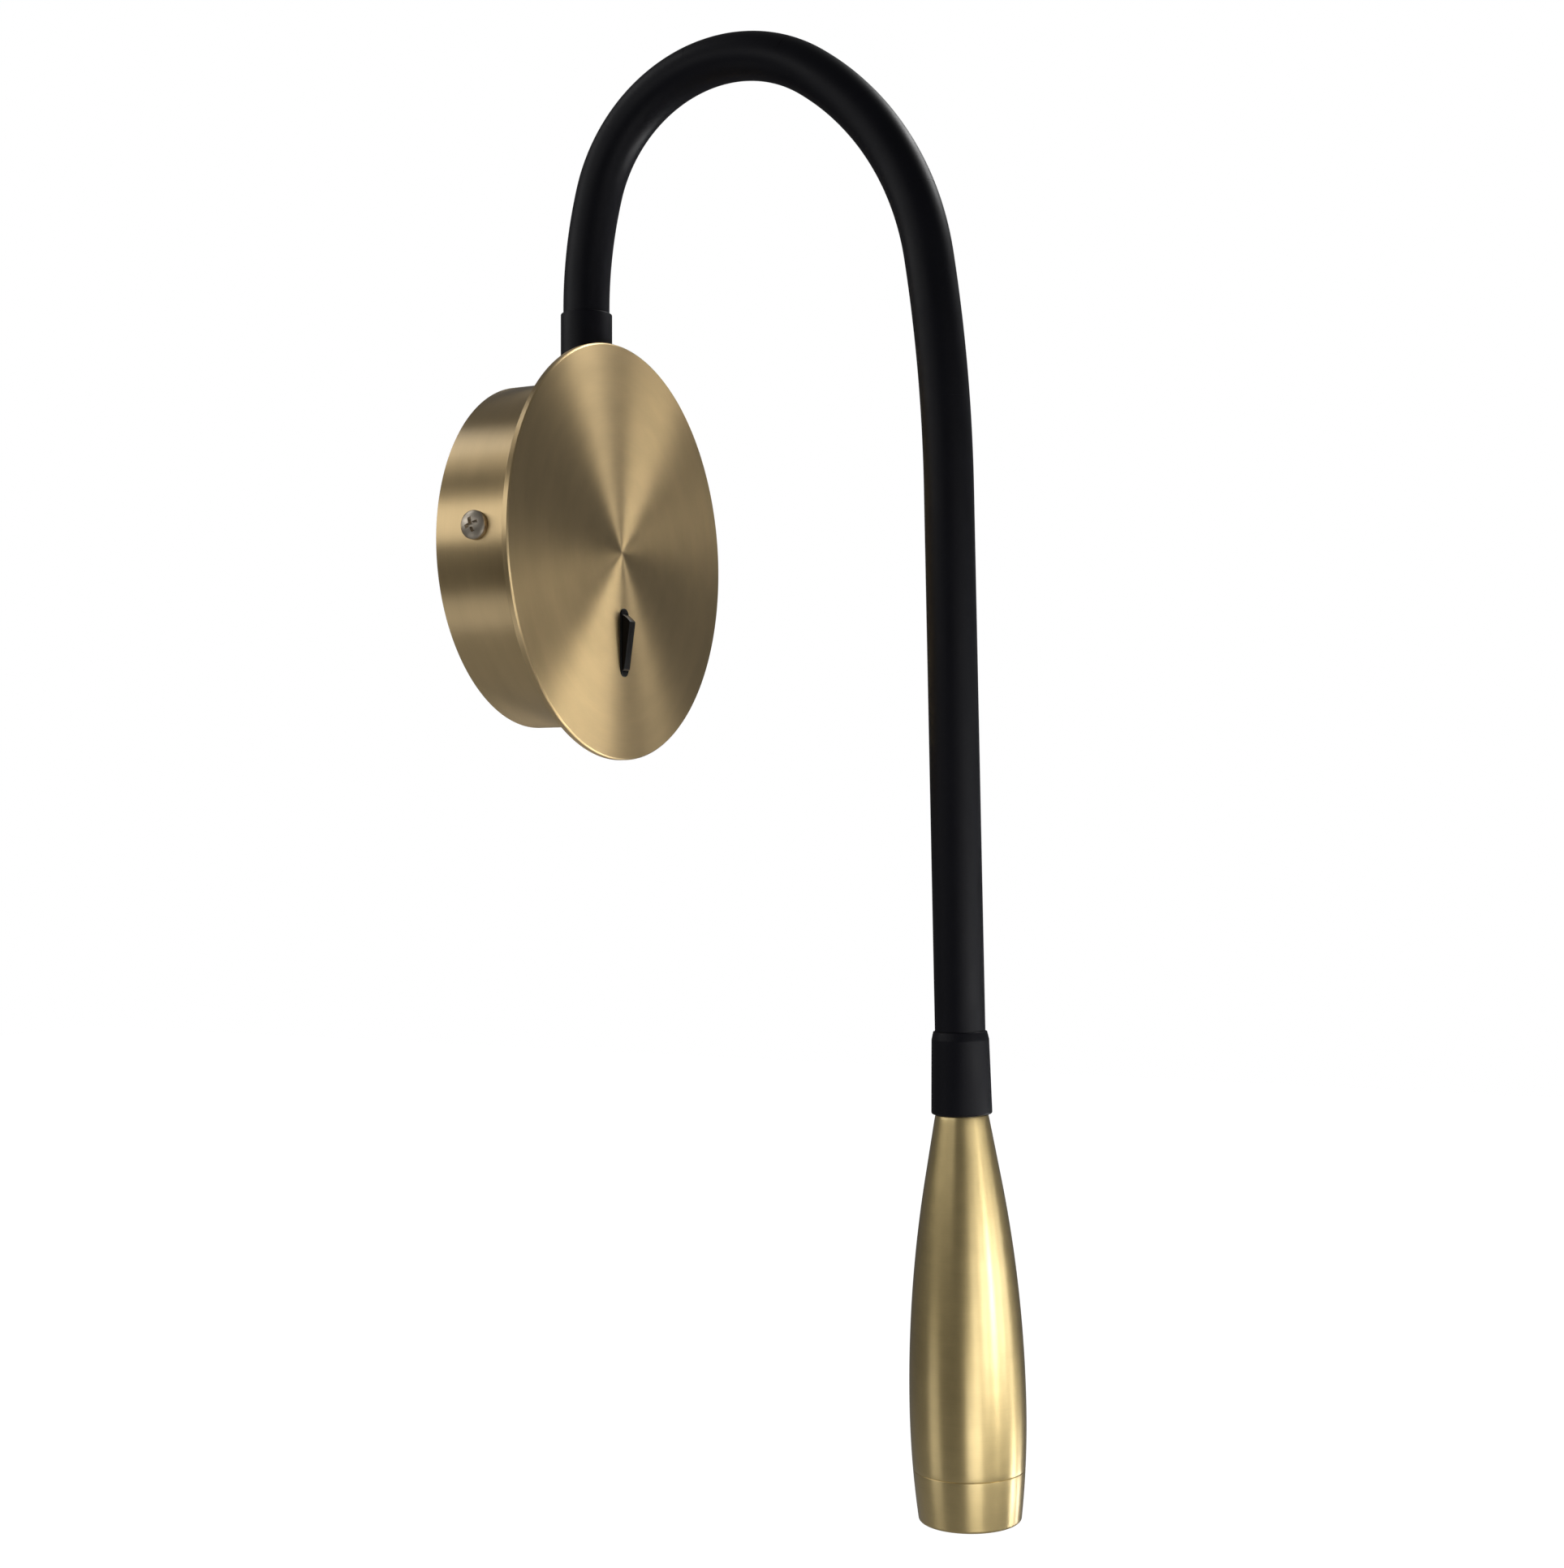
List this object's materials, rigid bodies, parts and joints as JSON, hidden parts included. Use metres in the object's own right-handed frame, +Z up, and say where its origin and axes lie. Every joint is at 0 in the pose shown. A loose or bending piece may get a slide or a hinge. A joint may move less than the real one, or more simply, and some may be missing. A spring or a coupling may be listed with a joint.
{
  "type": "reading wall lamp",
  "caption": "Reading wall lamp with a round brushed brass cup and disc, a rocker switch, a sleeved gooseneck and a tapered spot head.",
  "frame": {"origin": "centre of the cup's back rim, on the wall plane", "axes": "+Y into the wall, -Y towards the room, +Z up, +X to the right seen from the room"},
  "size_m": [0.12, 0.1515, 0.4091],
  "materials": {
    "brass_finish": "brushed",
    "black_silicone": "matt",
    "black_plastic": "satin",
    "black_holder": "matt",
    "zinc_steel": "zinc plated",
    "nickel_screw": "nickel plated",
    "plain_brass": "bright",
    "neck_steel": "plain",
    "white_plastic": "matt",
    "foam_tape": "matt",
    "wire_insulation": "satin",
    "earth_insulation": "satin",
    "lead_jacket": "matt",
    "sink_aluminium": "machined",
    "board_white": "matt",
    "chip_yellow": "glossy",
    "lens_clear": "frosted"
  },
  "bodies": {
    "wall_plate": {"wall_bracket": "zinc_steel", "bracket_earth_screw": "plain_brass", "cup_side_screws": "nickel_screw", "wall_cup": "brass_finish", "front_disc": "brass_finish", "disc_stud_nuts": "zinc_steel", "switch_housing": "black_plastic", "switch_tabs": "plain_brass", "switch_screws": "zinc_steel", "led_driver": "white_plastic", "driver_tape": "foam_tape", "terminal_block": "white_plastic", "terminal_screws": "zinc_steel", "driver_leads": "wire_insulation", "switch_leads": "wire_insulation", "earth_lead": "earth_insulation", "neck_nipple": "zinc_steel", "neck_saddle_washer": "zinc_steel", "neck_lock_washer": "zinc_steel", "neck_nut": "plain_brass", "base_boot": "black_silicone", "neck_section_01": "neck_steel", "neck_sleeve": "black_silicone", "lamp_lead": "lead_jacket"},
    "neck_02": {"neck_section_02": "neck_steel"},
    "neck_03": {"neck_section_03": "neck_steel"},
    "neck_04": {"neck_section_04": "neck_steel"},
    "neck_05": {"neck_section_05": "neck_steel"},
    "neck_06": {"neck_section_06": "neck_steel"},
    "neck_07": {"neck_section_07": "neck_steel"},
    "neck_08": {"neck_section_08": "neck_steel"},
    "neck_09": {"neck_section_09": "neck_steel"},
    "neck_10": {"neck_section_10": "neck_steel"},
    "neck_11": {"neck_section_11": "neck_steel"},
    "neck_12": {"neck_section_12": "neck_steel"},
    "neck_13": {"neck_section_13": "neck_steel"},
    "neck_14": {"neck_section_14": "neck_steel"},
    "head": {"neck_section_15": "neck_steel", "head_boot": "black_silicone", "head_ferrule": "zinc_steel", "head_body": "brass_finish", "heat_sink": "sink_aluminium", "led_board": "board_white", "led_chip": "chip_yellow", "lens_holder": "black_holder", "lens": "lens_clear", "front_ring": "brass_finish"},
    "rocker": {"switch_rocker": "black_plastic"}
  },
  "joints": [
    {"name": "neck_joint_01", "type": "hinge", "parent": "wall_plate", "child": "neck_02", "pos_m": [0, -0.01825, 0.07999], "axis": [1, 0, 0], "range_deg": [-5, 15], "deforming": ["neck_sleeve", "lamp_lead"]},
    {"name": "neck_joint_02", "type": "hinge", "parent": "neck_02", "child": "neck_03", "pos_m": [0, -0.02337, 0.1087], "axis": [0, 0.9447, 0.3279], "range_deg": [-20, 20]},
    {"name": "neck_joint_03", "type": "hinge", "parent": "neck_03", "child": "neck_04", "pos_m": [0, -0.041, 0.13136], "axis": [1, 0, 0], "range_deg": [-20, 5]},
    {"name": "neck_joint_04", "type": "hinge", "parent": "neck_04", "child": "neck_05", "pos_m": [0, -0.06879, 0.13861], "axis": [0, 0.0717, -0.9974], "range_deg": [-20, 20]},
    {"name": "neck_joint_05", "type": "hinge", "parent": "neck_05", "child": "neck_06", "pos_m": [0, -0.09536, 0.12761], "axis": [1, 0, 0], "range_deg": [-20, 5]},
    {"name": "neck_joint_06", "type": "hinge", "parent": "neck_06", "child": "neck_07", "pos_m": [0, -0.11474, 0.10593], "axis": [0, -0.8508, 0.5255], "range_deg": [-20, 20]},
    {"name": "neck_joint_07", "type": "hinge", "parent": "neck_07", "child": "neck_08", "pos_m": [0, -0.12545, 0.07889], "axis": [1, 0, 0], "range_deg": [-20, 5]},
    {"name": "neck_joint_08", "type": "hinge", "parent": "neck_08", "child": "neck_09", "pos_m": [0, -0.12939, 0.04994], "axis": [0, 0.9949, -0.101], "range_deg": [-20, 20]},
    {"name": "neck_joint_09", "type": "hinge", "parent": "neck_09", "child": "neck_10", "pos_m": [0, -0.13141, 0.02078], "axis": [-1, 0, 0], "range_deg": [-20, 20]},
    {"name": "neck_joint_10", "type": "hinge", "parent": "neck_10", "child": "neck_11", "pos_m": [0, -0.13201, -0.00844], "axis": [0, -0.9998, 0.0175], "range_deg": [-20, 20]},
    {"name": "neck_joint_11", "type": "hinge", "parent": "neck_11", "child": "neck_12", "pos_m": [0, -0.13252, -0.03767], "axis": [1, 0, 0], "range_deg": [-20, 20]},
    {"name": "neck_joint_12", "type": "hinge", "parent": "neck_12", "child": "neck_13", "pos_m": [0, -0.13303, -0.0669], "axis": [0, 0.9998, -0.0175], "range_deg": [-20, 20]},
    {"name": "neck_joint_13", "type": "hinge", "parent": "neck_13", "child": "neck_14", "pos_m": [0, -0.13354, -0.09612], "axis": [-1, 0, 0], "range_deg": [-20, 20]},
    {"name": "neck_joint_14", "type": "hinge", "parent": "neck_14", "child": "head", "pos_m": [0, -0.13405, -0.12535], "axis": [0, -0.9998, 0.0175], "range_deg": [-20, 20]},
    {"name": "rocker_tilt", "type": "hinge", "parent": "wall_plate", "child": "rocker", "pos_m": [0.001, -0.0255, -0.026], "axis": [1, 0, 0], "range_deg": [-16, 0]}
  ]
}
